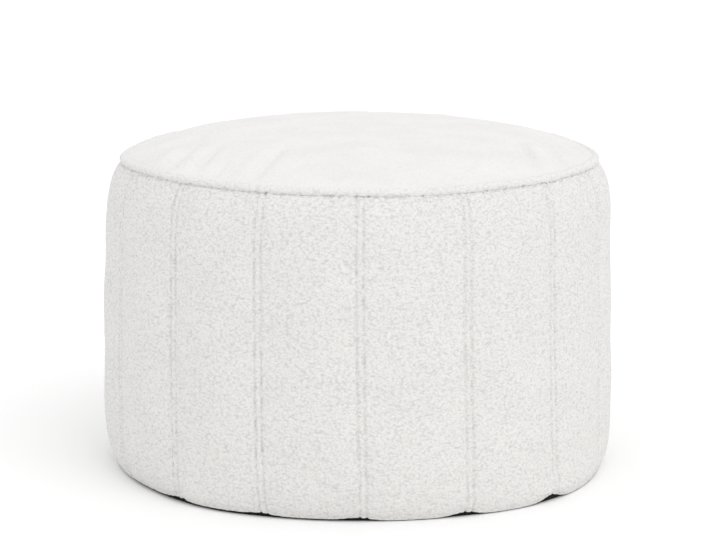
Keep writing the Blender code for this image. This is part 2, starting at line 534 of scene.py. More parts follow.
angle = SEAMS[panel] + across * np.diff(SEAMS)[panel] + seam_shift(share)
channel = CHANNEL_DEPTH * np.sqrt(np.sin(np.pi * share).clip(0)) * np.abs(2 * across - 1) ** CHANNEL_CURVE
radius = barrel(share) - channel - PILE_DEPTH / 2 * (row > 0)
height = WALL_FOOT + share * (WALL_HEAD - WALL_FOOT)

hem = hem_height(angle)
for hem_row, rise, turned_in in HEM_TURN:
    here = row == hem_row
    height[here] = hem[here] + rise * MM
    radius[here] = HEM_RADIUS - turned_in * MM
set_points(wall, np.stack([radius * np.cos(angle), radius * np.sin(angle), height], axis=1))
print("tube:", len(wall.data.vertices), "points, hem from", (hem.min() / MM).round(1), "mm up")

# %% [markdown]
# ### Sew its edges
#
# A vertex group named "sewn" holds what the stitches hold: the seams, the hem and the edge under the
# piping. Each panel gets a material slot, which later tells Blender where to cut the wall into pieces.
# Beads never lie evenly, so the loose cloth starts a little uneven, and then the two ends of the tube,
# which lie on each other, are merged.

# %% Slots for the panels, and sewn edges
START_BUMPS = 1.6  # mm, of the loose cloth before it is filled

for number in range(PANEL_COUNT):
    wall.data.materials.append(fleece)
corners = np.array([list(face.vertices) for face in wall.data.polygons])
wall.data.polygons.foreach_set("material_index", panel[corners].min(axis=1).astype(np.int32))

held = np.flatnonzero((step == 0) | (step == COLUMNS) | (row <= 1) | (row == ROWS))
wall.vertex_groups.new(name="sewn").add(held.tolist(), 1.0, "REPLACE")

loose = ((step > 0) & (step < COLUMNS) & (row > 1) & (row < ROWS)).astype(float)
start_points = points_of(wall)
outward = np.stack([np.cos(angle), np.sin(angle), np.zeros(len(angle))], axis=1)
unevenness = steady_noise(start_points, size=55 * MM, seed=1) * START_BUMPS * MM
set_points(wall, start_points + outward * (unevenness * loose)[:, None])

edit(wall)
bpy.ops.mesh.remove_doubles(threshold=0.01 * MM)
face_outwards()
print("wall cage:", len(wall.data.polygons), "squares,", len(held), "points sewn")

# %% [markdown]
# ## Fill it with beads
#
# Beads press on the cloth from inside, and the seams hold it. Blender's Cloth does just that: the sewn
# points stay where they are, and pressure pushes the rest out until the cloth is tight. A little slack in
# the cloth leaves the small uneven puffs and creases that no formula gives. Twenty frames are enough for
# it to settle. A cap on how far a point may move keeps the wall to its size.

# %% Cloth simulation
CLOTH_FRAMES = 20


def fill_with_beads(piece, pressure, slack, stiffness, cap):
    """Runs a Cloth simulation on the piece, whose sewn points are held, and leaves its result in the mesh."""
    before = points_of(piece)
    start_piece(piece)
    modifier = piece.modifiers.new("cloth", "CLOTH")
    settings = modifier.settings
    settings.vertex_group_mass = "sewn"
    settings.use_pressure = True
    settings.uniform_pressure_force = pressure
    settings.effector_weights.gravity = 0
    settings.bending_stiffness = stiffness
    settings.shrink_min = -slack
    for moment in range(1, CLOTH_FRAMES + 1):
        bpy.context.scene.frame_set(moment)
    bpy.ops.object.modifier_apply(modifier=modifier.name)
    bpy.context.scene.frame_set(1)
    move = points_of(piece) - before
    length = np.linalg.norm(move, axis=1)
    set_points(piece, before + move * np.minimum(1, cap / np.maximum(length, 1e-9))[:, None])
    average, most = (length.mean() / MM).round(2), (length.max() / MM).round(2)
    print(piece.name, "moved", average, "mm on average, at most", most, "mm")


# %% [markdown]
# ### The wall
#
# Only the unevenness of the filling is wanted, because the barrel outline is already right. So the average
# push at each height is taken out again: a smooth curve through the radii before and after gives it.


# %% Fill the wall
def average_radius(points):
    """The average radius of the wall at the height of each of its points, from a smooth fitted curve."""
    radii = np.hypot(points[:, 0], points[:, 1])
    return np.polyval(np.polyfit(points[:, 2] / WALL_HEAD, radii, 9), points[:, 2] / WALL_HEAD)


before = points_of(wall)
fill_with_beads(wall, pressure=10, slack=0.003, stiffness=2, cap=6 * MM)
filled = points_of(wall)

push = average_radius(filled) - average_radius(before)
radii = np.hypot(filled[:, 0], filled[:, 1])
above_hem = np.clip((filled[:, 2] - 12 * MM) / (20 * MM), 0, 1)  # the hem is already in its place
filled[:, :2] *= ((radii - push * above_hem) / radii)[:, None]
set_points(wall, filled)
print("wall radius after filling:", np.hypot(filled[:, 0], filled[:, 1]).max().round(4), "m")

# %% [markdown]
# ## Folds laid one by one
#
# The simulation gives the general softness. The folds that make this one footstool are given one by one,
# as a sculptor would lay them with a soft brush: first a few long low creases, where the beads have
# settled. Each is a row in a table.

# %% Folds of the wall
# Degrees round from the front towards +X, height in mm, half-lengths along and across in mm, tilt in degrees
# off level, and how far it stands out in mm
WALL_FOLDS = (
    (9, 112, 30, 5, 14, 0.8),
    (14, 96, 26, 4, 10, -0.7),
    (17, 128, 18, 4, 38, 0.6),
    (5, 78, 22, 5, 6, 0.5),
    (-31, 70, 24, 6, -8, 0.5),
    (-12, 205, 26, 6, 8, -0.4),
    (31, 214, 22, 6, 12, 0.5),
    (34, 150, 18, 5, -30, -0.4),
    (-36, 180, 26, 7, 20, 0.4),
    (70, 120, 34, 6, 15, 0.7),
    (118, 90, 30, 6, -12, -0.7),
    (150, 170, 28, 5, 20, 0.6),
    (-150, 110, 30, 6, 10, 0.7),
    (-110, 85, 26, 6, -16, -0.6),
    (-75, 140, 30, 6, 12, 0.6),
)


def front_angle(points):
    """Degrees round from the front towards +X, from -180 to 180."""
    return np.degrees(np.arctan2(points[:, 0], -points[:, 1]))


def fold_heights(points, folds):
    """How far each point of the wall stands out for a table of folds."""
    turn, total = front_angle(points), np.zeros(len(points))
    for place, level, long, wide, tilt, lift in folds:
        aside = np.radians((turn - place + 180) % 360 - 180) * WALL_RADIUS / MM
        up = points[:, 2] / MM - level
        lean, rise = math.cos(math.radians(tilt)), math.sin(math.radians(tilt))
        along, beside = aside * lean + up * rise, up * lean - aside * rise
        total += lift * np.exp(-((along / long) ** 2) - (beside / wide) ** 2)
    return total * MM


print(len(WALL_FOLDS), "folds")

# %% [markdown]
# ### Puckers
#
# Where the wall is gathered into the piping, the cloth has to go somewhere, and it makes short upright
# puckers. There are too many to place one by one, so a seeded random draw varies their place, length and
# depth. The seed makes every run draw the same ones.

# %% Puckers under the piping
PUCKER_PLACES = (0.0, 3.0, 6.5, 11.0, 16.0, 19.5)  # degrees on from a seam, and the first is the seam's own
PUCKER_SHIFT = 0.7  # degrees to the left, so that the seam's own pucker meets a row of stitches
PUCKER_STRAY = 1.2  # degrees either way, but not for the seam's own
PUCKER_TOP = 4  # mm below the piping
PUCKER_LENGTH, PUCKER_DEPTH, PUCKER_WIDTH = (7, 16), (0.5, 1.3), (1.6, 3.2)  # mm
PANEL_PUCKER = 0.55  # a pucker between the seams is this much as deep


def pucker_rows():
    """Short upright folds under the piping: one at each seam, and five shallower ones in each panel."""
    chance = random.Random(11)
    rows = []
    for number in range(PANEL_COUNT):
        seam = math.degrees(SEAMS[number]) + 90
        for aside in PUCKER_PLACES:
            place = seam - PUCKER_SHIFT + aside + chance.uniform(-PUCKER_STRAY, PUCKER_STRAY) * (aside > 0)
            length = chance.uniform(*PUCKER_LENGTH)
            depth = -chance.uniform(*PUCKER_DEPTH) * (1.0 if aside == 0 else PANEL_PUCKER)
            width = chance.uniform(*PUCKER_WIDTH)
            rows.append((place, SEAM_HEIGHT / MM - PUCKER_TOP, length, width, 90, depth))
    return tuple(rows)


PUCKERS = pucker_rows()
print(len(PUCKERS), "puckers")

# %% [markdown]
# ## How the whole footstool sits
#
# A soft thing never stands quite true. The piping isn't sewn on a perfect level, the top slopes a little
# to the back, and the beads have moved the body a little to the left and spread the foot, most of all on
# the right. Moving each piece by hand would open gaps between them. Here every piece goes through one
# function, so they stay together.

# %% Waves, sags, lean and spread
WAVE_HEIGHT = 0.8 * MM
WAVE_REACH = 40 * MM
SHORT_WAVE = 0.35  # a short wave on the long one is this much as high
BACK_DROP = 4.5 * MM
LEAN_LEFT = 3.2 * MM
LEAN_START, LEAN_SPAN = 0.2, 0.69  # the lean follows this part of half a wave, so it is most near mid-height
RIM_START = 0.55  # from this share of the piping's radius outwards, the top sags with the piping
# Where the sewing line sags, and where the foot spreads: degrees round from the front towards +X,
# half-width in degrees, and how far in mm
SAGS = ((100, 22, 4.5), (-100, 22, 4.5), (180, 80, 5.5), (18, 45, 2.0))
FOOT_SPREAD = ((48, 26, 10.0), (-36, 16, 5.0), (-84, 10, 1.5))
SPREAD_REACH = 22 * MM


def around(points, places):
    """The sum of soft bumps of a table at each point's angle about the Z axis, in metres."""
    turn = front_angle(points)
    return sum(
        size * MM * np.exp(-(((turn - place + 180) % 360 - 180) / wide) ** 2) for place, wide, size in places
    )


def settled(points):
    """The points after the sewing line's waves and sags, the back's drop, the lean and the spread foot."""
    radii = np.hypot(points[:, 0], points[:, 1])
    turn = np.arctan2(points[:, 1], points[:, 0])
    ring = np.stack([np.cos(turn), np.sin(turn), np.zeros(len(turn))], axis=1)
    wave = steady_noise(ring, size=0.42, seed=2) + SHORT_WAVE * steady_noise(ring, size=0.13, seed=3)
    near = np.exp(-((np.minimum(points[:, 2] - SEAM_HEIGHT, 0) / WAVE_REACH) ** 2))
    outer = np.clip(2 * radii / PIPING_RING - 1, 0, 1)
    share = np.clip(points[:, 2] / SEAM_HEIGHT, 0, 1)
    at_rim = np.clip((radii / PIPING_RING - RIM_START) / (1 - RIM_START), 0, 1) ** 2
    moved = points.copy()
    moved[:, 2] += WAVE_HEIGHT * wave * near * outer
    moved[:, 2] -= BACK_DROP * share**2 * (1 + points[:, 1] / WALL_RADIUS) / 2
    moved[:, 2] -= around(points, SAGS) * share**3 * at_rim
    moved[:, 0] -= LEAN_LEFT * np.sin(np.pi * (LEAN_START + LEAN_SPAN * share))
    low = np.exp(-((points[:, 2] / SPREAD_REACH) ** 2)) * (radii / HEM_RADIUS) ** 2
    spread = around(points, FOOT_SPREAD) * low
    return moved + ring * spread[:, None]


front_and_back = np.array([[0, -PIPING_RING, SEAM_HEIGHT], [0, PIPING_RING, SEAM_HEIGHT]])
drop = (front_and_back - settled(front_and_back))[:, 2] / MM
print("the piping drops by", drop.round(1), "mm, at the front and at the back")

# %% [markdown]
# ## Finer cloth, sewn down at the seams
#
# Subdivision Surface turns the coarse cage into cloth fine enough to carry curls: a point every 1.3 mm.
# The folds and puckers of the two tables are pressed into it only now, because they are finer than the
# cage.

# %% Subdivide the wall, and fold it
apply_modifier(wall, "SUBSURF", levels=3, render_levels=3)
bpy.ops.object.shade_smooth()

points = points_of(wall)
outward = points * (1, 1, 0) / np.hypot(points[:, 0], points[:, 1])[:, None]
points += outward * (fold_heights(points, WALL_FOLDS) + fold_heights(points, PUCKERS))[:, None]
print("wall cloth:", len(wall.data.polygons), "squares")

# %% [markdown]
# ### Stitch lines
#
# Beside each seam, two rows of stitches hold the seam allowances flat. Each row presses a narrow groove
# into the pile, and the strip between them stands up a little. The rows wander by a fraction of a
# millimetre, because they are sewn by hand and eye, and the thread pulls harder in some places than in
# others. A groove could be modelled with bevelled edges, but it would need an edge along each line. A
# formula for the distance to the line presses it into any mesh that is fine enough.

# %% Press the stitch lines in
STITCH_GROOVE_DEPTH = 1.5 * MM
STITCH_GROOVE_WIDTH = 1.1 * MM
STITCH_WANDER, WANDER_LENGTH = 0.5 * MM, 0.06  # a line strays by this much, over this length in metres
STITCH_PULL = 1.1  # a noise of this strength makes the thread pull more in some places than in others
STRIP_RISE = 0.4 * MM
SEAM_REACH = 9 * MM  # further from a seam than this, there is no groove to work out
HEM_BUMP, HEM_BUMP_REACH = 0.7 * MM, 6 * MM  # the stitches gather the hem upwards


def seam_offset(points):
    """For each point: the nearest seam's number, and the distance from it in metres, towards +X positive."""
    share = np.clip((points[:, 2] - WALL_FOOT) / (WALL_HEAD - WALL_FOOT), 0, 1)
    turn = np.arctan2(points[:, 1], points[:, 0]) - seam_shift(share)
    off = (turn[:, None] - SEAMS[None, :-1] + np.pi) % (2 * np.pi) - np.pi
    nearest = np.abs(off).argmin(axis=1)
    return nearest, off[np.arange(len(off)), nearest] * np.hypot(points[:, 0], points[:, 1])


def wander(number, side, heights):
    """How far a stitch line strays at each height. Each line reads its own part of the noise."""
    flat = np.ones(len(heights))
    places = np.stack([flat * number * 3.1, flat * side * 1.7, heights / WANDER_LENGTH], axis=1)
    return STITCH_WANDER * steady_noise(places, size=1.0, seed=4)


seam_number, off_seam = seam_offset(points)
line_distance = np.full(len(points), 1.0)
near_seam = np.flatnonzero(np.abs(off_seam) < SEAM_REACH)
for side in (-1, 1):
    strayed = np.zeros(len(near_seam))
    for number in range(PANEL_COUNT):
        here = seam_number[near_seam] == number
        strayed[here] = wander(number, side, points[near_seam[here], 2])
    distance = np.abs(off_seam[near_seam] - side * STITCH_OFFSET - strayed)
    line_distance[near_seam] = np.minimum(line_distance[near_seam], distance)

groove = np.exp(-((line_distance / STITCH_GROOVE_WIDTH) ** 2))
strip = np.clip(1 - np.abs(off_seam) / STITCH_OFFSET, 0, 1) * (1 - groove)
pull = np.ones(len(points))
pull[near_seam] += STITCH_PULL * steady_noise(points[near_seam], size=5 * MM, seed=7)
points += outward * (STRIP_RISE * strip - STITCH_GROOVE_DEPTH * groove * pull)[:, None]
points[:, 2] += HEM_BUMP * groove * np.exp(-((points[:, 2] / HEM_BUMP_REACH) ** 2))
set_points(wall, points)
deepest = STITCH_GROOVE_DEPTH * (groove * pull).max()
print(2 * PANEL_COUNT, "stitch lines, with grooves up to", (deepest / MM).round(1), "mm deep")

# %% [markdown]
# ## Stitches
#
# The thread shows as a dash in each groove, about 4 mm long. One stitch is modelled: a short five-sided
# tube whose ends dip into the cloth. It has few faces, because two thousand copies will be made of it.

# %% One stitch
THREAD_RADIUS = 0.35 * MM
STITCH_LENGTH = 3.6 * MM
STITCH_PITCH = 4.5 * MM
LOWEST_STITCH = 9 * MM
STITCHES_IN_ROW = int((SEAM_HEIGHT - 5 * MM - LOWEST_STITCH) / STITCH_PITCH)
END_START = 0.45  # a stitch's ends begin at this share of its length from its middle
END_WIDTH = 0.7  # of its thickness
END_DIP = 0.9 * MM  # the ends go this far into the cloth

start_piece()
bpy.ops.mesh.primitive_cylinder_add(vertices=5, radius=THREAD_RADIUS, depth=STITCH_LENGTH, location=(0, 0, 0))
stitches = bpy.context.object
stitches.name = "seam_stitches"
edit(stitches)
bpy.ops.mesh.bisect(plane_co=(0, 0, 0), plane_no=(0, 0, 1))
bpy.ops.object.mode_set(mode="OBJECT")

points = points_of(stitches)
ends = np.abs(points[:, 2]) > END_START * STITCH_LENGTH
points[ends, :2] *= END_WIDTH
points[ends, 1] -= END_DIP
set_points(stitches, points)
print("one stitch:", STITCH_LENGTH / MM, "mm long, with", len(stitches.data.polygons), "faces")

# %% [markdown]
# ### Rows of stitches
#
# Two Array modifiers copy the stitch, along a row and then from row to row. At first all of them lie flat,
# side by side. Each row is then laid into its own groove. How deep the groove is at each height is felt
# with a ray from outside, as a fingertip would.

# %% Copy the stitch, and lay the rows into the grooves
ROW_SPACING = 20 * MM  # while the rows lie flat
THREAD_LIFT = 0.2 * MM  # the middle of the thread above the floor of its groove
FEELER_STOPS = 160  # places along a row where the groove is felt
FEELER_START = 0.4  # metres from the middle of the footstool, well outside the wall

for offset, count in (((0, 0, STITCH_PITCH), STITCHES_IN_ROW), ((ROW_SPACING, 0, 0), 2 * PANEL_COUNT)):
    apply_modifier(
        stitches,
        "ARRAY",
        count=count,
        use_relative_offset=False,
        use_constant_offset=True,
        constant_offset_displace=offset,
    )

points = points_of(stitches)
line = np.rint(points[:, 0] / ROW_SPACING).astype(int)
aside, proud = points[:, 0] - line * ROW_SPACING, points[:, 1]
heights = points[:, 2] + LOWEST_STITCH
laid = np.empty_like(points)
for number in range(PANEL_COUNT):
    for side in (-1, 1):
        here = line == 2 * number + (side + 1) // 2
        slip = (number * 7 % 5 + side) / 5 * MM  # no two rows start at the same height
        level = heights[here] + slip
        place = side * STITCH_OFFSET + wander(number, side, level) + aside[here]
        share = (level - WALL_FOOT) / (WALL_HEAD - WALL_FOOT)
        turn = SEAMS[number] + seam_shift(share) + place / WALL_RADIUS
        stops = np.linspace(level.min(), level.max(), FEELER_STOPS)
        floors = []
        for stop in stops:
            middle = np.interp(stop, np.sort(level), turn[np.argsort(level)])
            toward = Vector((math.cos(middle), math.sin(middle), 0))
            hit, spot, _, _ = wall.ray_cast(toward * FEELER_START + Vector((0, 0, stop)), -toward)
            floors.append(math.hypot(spot.x, spot.y) if hit else HEM_RADIUS)
        out = np.interp(level, stops, floors) + proud[here] + THREAD_LIFT
        laid[here] = np.stack([out * np.cos(turn), out * np.sin(turn), level], axis=1)
set_points(stitches, settled(laid))
edit(stitches)
face_outwards()
bpy.ops.object.shade_smooth()
print("stitches:", STITCHES_IN_ROW * 2 * PANEL_COUNT, "with", len(stitches.data.polygons), "faces")

# %% [markdown]
# ### Thread
#
# Spun polyester thread is smoother than the pile, so it catches a little more light. Its plies are twisted
# round each other, and a diagonal wave in the bump draws them. Such a wave repeats every pi / 5 / Scale
# along the thread, which gives the scale from the real spacing.

# %% Thread material
THREAD_COLOUR = "efeeea"
PLY_PITCH = 0.6 * MM  # along the thread, from one ply to the next

thread, tree, shader = start_material("spun_polyester_thread")
place = add(tree, "ShaderNodeTexCoord").outputs["Object"]
twist = {"Vector": place, "Scale": math.pi / 5 / PLY_PITCH, "Distortion": 1.0}
plies = add(tree, "ShaderNodeTexWave", twist, bands_direction="DIAGONAL")
bump = add(tree, "ShaderNodeBump", {"Height": plies.outputs["Fac"], "Strength": 0.4, "Distance": 0.1 * MM})
tree.links.new(bump.outputs["Normal"], shader.inputs["Normal"])
shader.inputs["Base Color"].default_value = colour(THREAD_COLOUR)
shader.inputs["Roughness"].default_value = 0.65
shader.inputs["Sheen Weight"].default_value = 0.1
stitches.data.materials.append(thread)
print("material:", thread.name, "with plies", PLY_PITCH / MM, "mm apart")

# %% [markdown]
# ## Curls
#
# The pile is raised with Displace modifiers. A Voronoi texture measures the distance to the nearest of
# many scattered points, so it is low in the middle of each curl and high between curls: with a negative
# strength it gives rounded knobs with sharp creases between them, as steamed curls have. A cloud texture
# makes groups of curls rise or sink together.

# %% Curls for any piece
CURL_LEVEL, CLUMP_LEVEL = 0.35, 0.5  # where a texture has this value, the cloth stays in its place
CLUMP_SIZE = 9 * MM
CLUMP_SHARE = 0.2  # of the depth of the pile


def pile_texture(name, kind, size, **settings):
    """A texture for a Displace modifier, with features of this size in metres."""
    texture = bpy.data.textures.new(name, kind)
    texture.noise_scale = size
    for key, value in settings.items():
        setattr(texture, key, value)
    return texture


CURL_TEXTURE = pile_texture("curls", "VORONOI", 1.05 * CURL_SIZE, distance_metric="DISTANCE_SQUARED")
CLUMP_TEXTURE = pile_texture("clumps", "CLOUDS", CLUMP_SIZE, noise_depth=2)


def raise_pile(piece, depth, freedom):
    """Raises curls on the piece. freedom is 1 where the pile stands free, and less where it is held down."""
    before = points_of(piece)
    normals = np.empty(len(before) * 3, np.float32)
    piece.data.vertices.foreach_get("normal", normals)
    for texture, strength, level in (
        (CURL_TEXTURE, -depth, CURL_LEVEL),
        (CLUMP_TEXTURE, CLUMP_SHARE * depth, CLUMP_LEVEL),
    ):
        apply_modifier(
            piece, "DISPLACE", texture=texture, texture_coords="LOCAL", strength=strength, mid_level=level
        )
    move = (points_of(piece) - before) * np.broadcast_to(freedom, len(before))[:, None]
    set_points(piece, before + move)
    lift = (move * normals.reshape(-1, 3)).sum(axis=1)
    pile = piece.data.attributes.new("pile", "FLOAT", "POINT")
    pile.data.foreach_set("value", np.clip(0.5 + lift / depth, 0, 1).astype(np.float32))
    print(piece.name, "pile from", (lift.min() / MM).round(2), "to", (lift.max() / MM).round(2), "mm")


print("curl texture:", round(CURL_TEXTURE.noise_scale / MM, 2), "mm")

# %% [markdown]
# ### Curls of the wall
#
# The pile is let down again where something holds it: under the stitches and at the sewn edges. Just below
# the piping, which parts the curls, they stand up. Last, the whole wall settles, and the floor stops it.

# %% Raise the pile of the wall
STITCHED_LOSS = 0.6  # the share of the pile that is lost under a stitch
FULL_PRESS = 1.1  # a little over 1, so that all of a groove's bottom counts as fully pressed
SEWN_PILE = 0.25  # the share that is left at a sewn edge
FOOT_BARE, FOOT_FADE = 1.5 * MM, 4 * MM  # sewn down up to this height, and free again this much higher
HEAD_FADE = 1.5 * MM  # and free again this far below the piping
RUFFLE, RUFFLE_REACH = 0.8, 4 * MM  # how much higher the curls stand below the piping, and how far down
FLOOR_GAP = 0.3 * MM  # the floor flattens the lowest curls

heights = points_of(wall)[:, 2]
pressed = np.clip(groove * FULL_PRESS, 0, 1)
ruffled = RUFFLE * np.exp(-(((WALL_HEAD - heights) / RUFFLE_REACH) ** 2))
inside = np.clip((heights - FOOT_BARE) / FOOT_FADE, 0, 1) * np.clip((WALL_HEAD - heights) / HEAD_FADE, 0, 1)
raise_pile(wall, PILE_DEPTH, (1 - STITCHED_LOSS * pressed) * (SEWN_PILE + (1 - SEWN_PILE) * inside + ruffled))
points = settled(points_of(wall))
points[:, 2] = np.maximum(points[:, 2], FLOOR_GAP)
set_points(wall, points)

# %% [markdown]
# ## Cut the wall into its panels
#
# Each panel is a piece of its own, as the maker cuts it. Its faces have their own material slot, so
# Blender can separate them by material. A panel alone is an open skin, so its edge is then closed with a
# fan of faces to a point inside the footstool, which makes it a filled solid like its CAD one.


# %% Separate and close
def close_inside(piece, inner_point):
    """Closes an open skin with a fan of faces from its edge to a point inside, and keeps the edge crisp."""
    start_piece(piece)
    bpy.ops.object.mode_set(mode="EDIT")
    bpy.ops.mesh.select_mode(type="EDGE")
    bpy.ops.mesh.select_all(action="DESELECT")
    bpy.ops.mesh.select_non_manifold(
        extend=False,
        use_wire=False,
        use_boundary=True,
        use_multi_face=False,
        use_non_contiguous=False,
        use_verts=False,
    )
    bpy.ops.mesh.mark_sharp()
    bpy.ops.mesh.extrude_edges_move()
    bpy.ops.transform.resize(value=(0, 0, 0), center_override=inner_point)
    bpy.ops.mesh.merge(type="CENTER")
    face_outwards()


start_piece(wall)
bpy.ops.object.mode_set(mode="EDIT")
bpy.ops.mesh.separate(type="MATERIAL")
bpy.ops.object.mode_set(mode="OBJECT")

fleece_panels = {}
for piece in list(bpy.context.selected_objects):
    points = points_of(piece)
    middle = math.atan2(points[:, 1].mean(), points[:, 0].mean())
    number = int(np.searchsorted(SEAMS, (middle - SEAMS[0]) % (2 * np.pi) + SEAMS[0], side="right")) - 1
    piece.name = f"fleece_panel_{number + 1:02d}"
    fleece_panels[number] = piece
for piece in fleece_panels.values():
    close_inside(piece, (0, 0, 0.5 * SEAM_HEIGHT))
print(len(fleece_panels), "panels, the first with", len(fleece_panels[0].data.polygons), "faces")

# %% [markdown]
# ## The top
#
# The top is one round cut of the same fleece. A circle filled with a grid has no pole in the middle, so
# curls spread evenly over it. A cone of triangles would pinch them there.

# %% Cut the top
TOP_EDGES = 152
TOP_SPAN = 38  # a quarter of the edges, so that the grid is as wide as it is long
RIM_TUCK = 0.6 * MM  # the edge goes in against the piping

start_piece()
bpy.ops.mesh.primitive_circle_add(vertices=TOP_EDGES, radius=TOP_RADIUS + RIM_TUCK, fill_type="NOTHING")
top = bpy.context.object
top.name = "fleece_top"
edit(top)
bpy.ops.mesh.fill_grid(span=TOP_SPAN)
face_outwards()
print("top cut:", len(top.data.polygons), "squares")

# %% [markdown]
# ### Crown and fill it
#
# The cut is raised to the crown of the CAD solid, and filled with beads as the wall was. The beads raise
# its middle further than they should. So the average height at each radius goes back to the crown's, and
# only the unevenness of the simulation stays.

# %% Crown and fill the top
CROWN_CURVE = 3.5
RIM_RISE = 6.4 * MM  # the edge of the top above the underside of the piping
CROWN_FILL = 2.0 * MM  # the beads fill the top a little more than the CAD solid, since its back sinks
TOP_PILE_DEPTH = 0.8 * MM


def crown_height(reach):
    """The CAD crown's height at each share of its radius."""
    rise = TOP_HEIGHT + CROWN_FILL - TOP_PILE_DEPTH / 2 - SEAM_HEIGHT - RIM_RISE
    return SEAM_HEIGHT + RIM_RISE + rise * (1 - np.clip(reach, 0, 1) ** CROWN_CURVE)


points = points_of(top)
reach = np.hypot(points[:, 0], points[:, 1]) / (TOP_RADIUS + RIM_TUCK)
rim = reach > 0.999
unevenness = steady_noise(points, size=60 * MM, seed=5) * START_BUMPS * MM
points[:, 2] = crown_height(reach) + unevenness * (~rim)
set_points(top, points)
top.vertex_groups.new(name="sewn").add(np.flatnonzero(rim).tolist(), 1.0, "REPLACE")
fill_with_beads(top, pressure=6, slack=0.004, stiffness=2, cap=12 * MM)

points = points_of(top)
reach = np.hypot(points[:, 0], points[:, 1]) / (TOP_RADIUS + RIM_TUCK)
average = np.polyval(np.polyfit(reach, points[:, 2], 7), reach)
points[:, 2] += (crown_height(reach) - average) * np.clip((1 - reach) / 0.04, 0, 1)  # the rim is sewn
set_points(top, points)
print("unevenness of the top:", round(float((points[:, 2] - crown_height(reach)).std() / MM), 2), "mm")

# %% [markdown]
# ### Its folds and its pile
#
# The rim is gathered to the smaller circle of the piping, which leaves soft folds that fade towards the
# middle. They are a table again, listed one by one: ridges and valleys side by side, some of them slanted.
# Its pile is short, because hands and feet brush it flat.

# %% Fold and finish the top
FOLD_FADE = 12 * MM  # the folds fade out over this distance from the sewn rim
RIM_PILE = 0.3  # the share of the pile that is left at the rim
RIM_FADE = 3 * MM  # and the distance over which it rises to its full depth
# Degrees round from the front towards +X, distance from the middle in mm, half-lengths along and across in
# mm, degrees off pointing at the middle, and how far it stands up in mm
TOP_FOLDS = (
    (-64, 200, 30, 8, 48, 2.8),
    (-59, 196, 30, 5.5, 41, -3.6),
    (-54, 190, 36, 8, 38, 3.2),
    (-52, 180, 38, 6, 38, -4.2),
    (-40, 200, 22, 5, 25, -2.6),
    (-34, 176, 40, 9, 16, 3.0),
    (-30, 168, 46, 6.5, 16, -3.9),
    (61, 179, 34, 6, -51, -4.0),
    (67, 182, 42, 8, -60, 3.6),
    (70, 196, 30, 6, -62, -3.6),
    (86, 212, 22, 5, -80, -2.2),
    (33, 200, 14, 6, -60, 2.0),
    (106, 165, 44, 9, 14, 1.4),
    (128, 175, 32, 6, -12, -2.2),
    (150, 172, 34, 9, 8, 0.8),
    (172, 180, 28, 6, -10, -1.8),
    (-110, 170, 42, 9, -12, 1.4),
    (-134, 177, 32, 6, 14, -2.2),
    (-158, 174, 34, 9, -6, 0.8),
)


def top_fold_heights(points, folds):
    """How far each point of the top stands up for a table of folds."""
    total = np.zeros(len(points))
    for place, distance, long, wide, tilt, lift in folds:
        turn = math.radians(place)
        x = points[:, 0] / MM - distance * math.sin(turn)
        y = points[:, 1] / MM + distance * math.cos(turn)
        lean = turn + math.radians(tilt)
        along, beside = x * math.sin(lean) - y * math.cos(lean), x * math.cos(lean) + y * math.sin(lean)
        total += lift * np.exp(-((along / long) ** 2) - (beside / wide) ** 2)
    return total * MM


apply_modifier(top, "SUBSURF", levels=3, render_levels=3)
bpy.ops.object.shade_smooth()
points = points_of(top)
reach = np.hypot(points[:, 0], points[:, 1])
points[:, 2] += top_fold_heights(points, TOP_FOLDS) * np.clip((TOP_RADIUS - reach) / FOLD_FADE, 0, 1)
set_points(top, settled(points))
# the top gets the copy of the fleece with less painted shade at its roots
top.data.materials.append(top_lit_fleece)
from_rim = np.clip((TOP_RADIUS - reach) / RIM_FADE, 0, 1)
raise_pile(top, TOP_PILE_DEPTH, RIM_PILE + (1 - RIM_PILE) * from_rim)
close_inside(top, (0, 0, SEAM_HEIGHT + 1 * MM))
print("top:", len(top.data.polygons), "faces")

# %% [markdown]
# ## The piping
#
# A strip of the fleece is folded round a cord and sewn in between the top and the wall. It could be swept
# along a curve, but a torus is a closed ring from the start. The cord inside is soft, so the roll is a
# little lumpy. Its curls stand out most below, where they hang over the crease between piping and wall, and
# they are short on top.

# %% Roll the piping
PIPING_PILE = 2.4 * MM
PIPING_GATHER = 2.8 * MM  # sewing pulls the ring in by this much
LUMPS = ((0.10, 22 * MM, 6), (0.14, 7 * MM, 8))  # the share of its radius, the length, and the noise's seed
LEAST_PILE = 0.2  # the share of the pile that is left on top

start_piece()
bpy.ops.mesh.primitive_torus_add(
    major_radius=PIPING_RING - PIPING_GATHER,
    minor_radius=PIPING_RADIUS,
    major_segments=256,
    minor_segments=10,
)
piping = bpy.context.object
piping.name = "fleece_piping"
apply_modifier(piping, "SUBSURF", levels=2, render_levels=2)
points = points_of(piping)
points[:, 2] += SEAM_HEIGHT + PIPING_RADIUS
ring = points * (1, 1, 0) / np.hypot(points[:, 0], points[:, 1])[:, None] * (PIPING_RING - PIPING_GATHER)
ring[:, 2] = SEAM_HEIGHT + PIPING_RADIUS
girth = np.ones(len(points))
for swelling, length, seed in LUMPS:
    girth += swelling * steady_noise(ring, length, seed)
set_points(piping, settled(ring + (points - ring) * girth[:, None]))
bpy.ops.object.shade_smooth()
piping.data.materials.append(rolled_fleece)
downward = (points - ring) @ (0, 0, -1.0) / PIPING_RADIUS  # from -1 on top of the roll to 1 below it
raise_pile(piping, PIPING_PILE, np.clip(0.5 + 0.5 * downward, LEAST_PILE, 1))
print("piping:", len(piping.data.polygons), "faces")

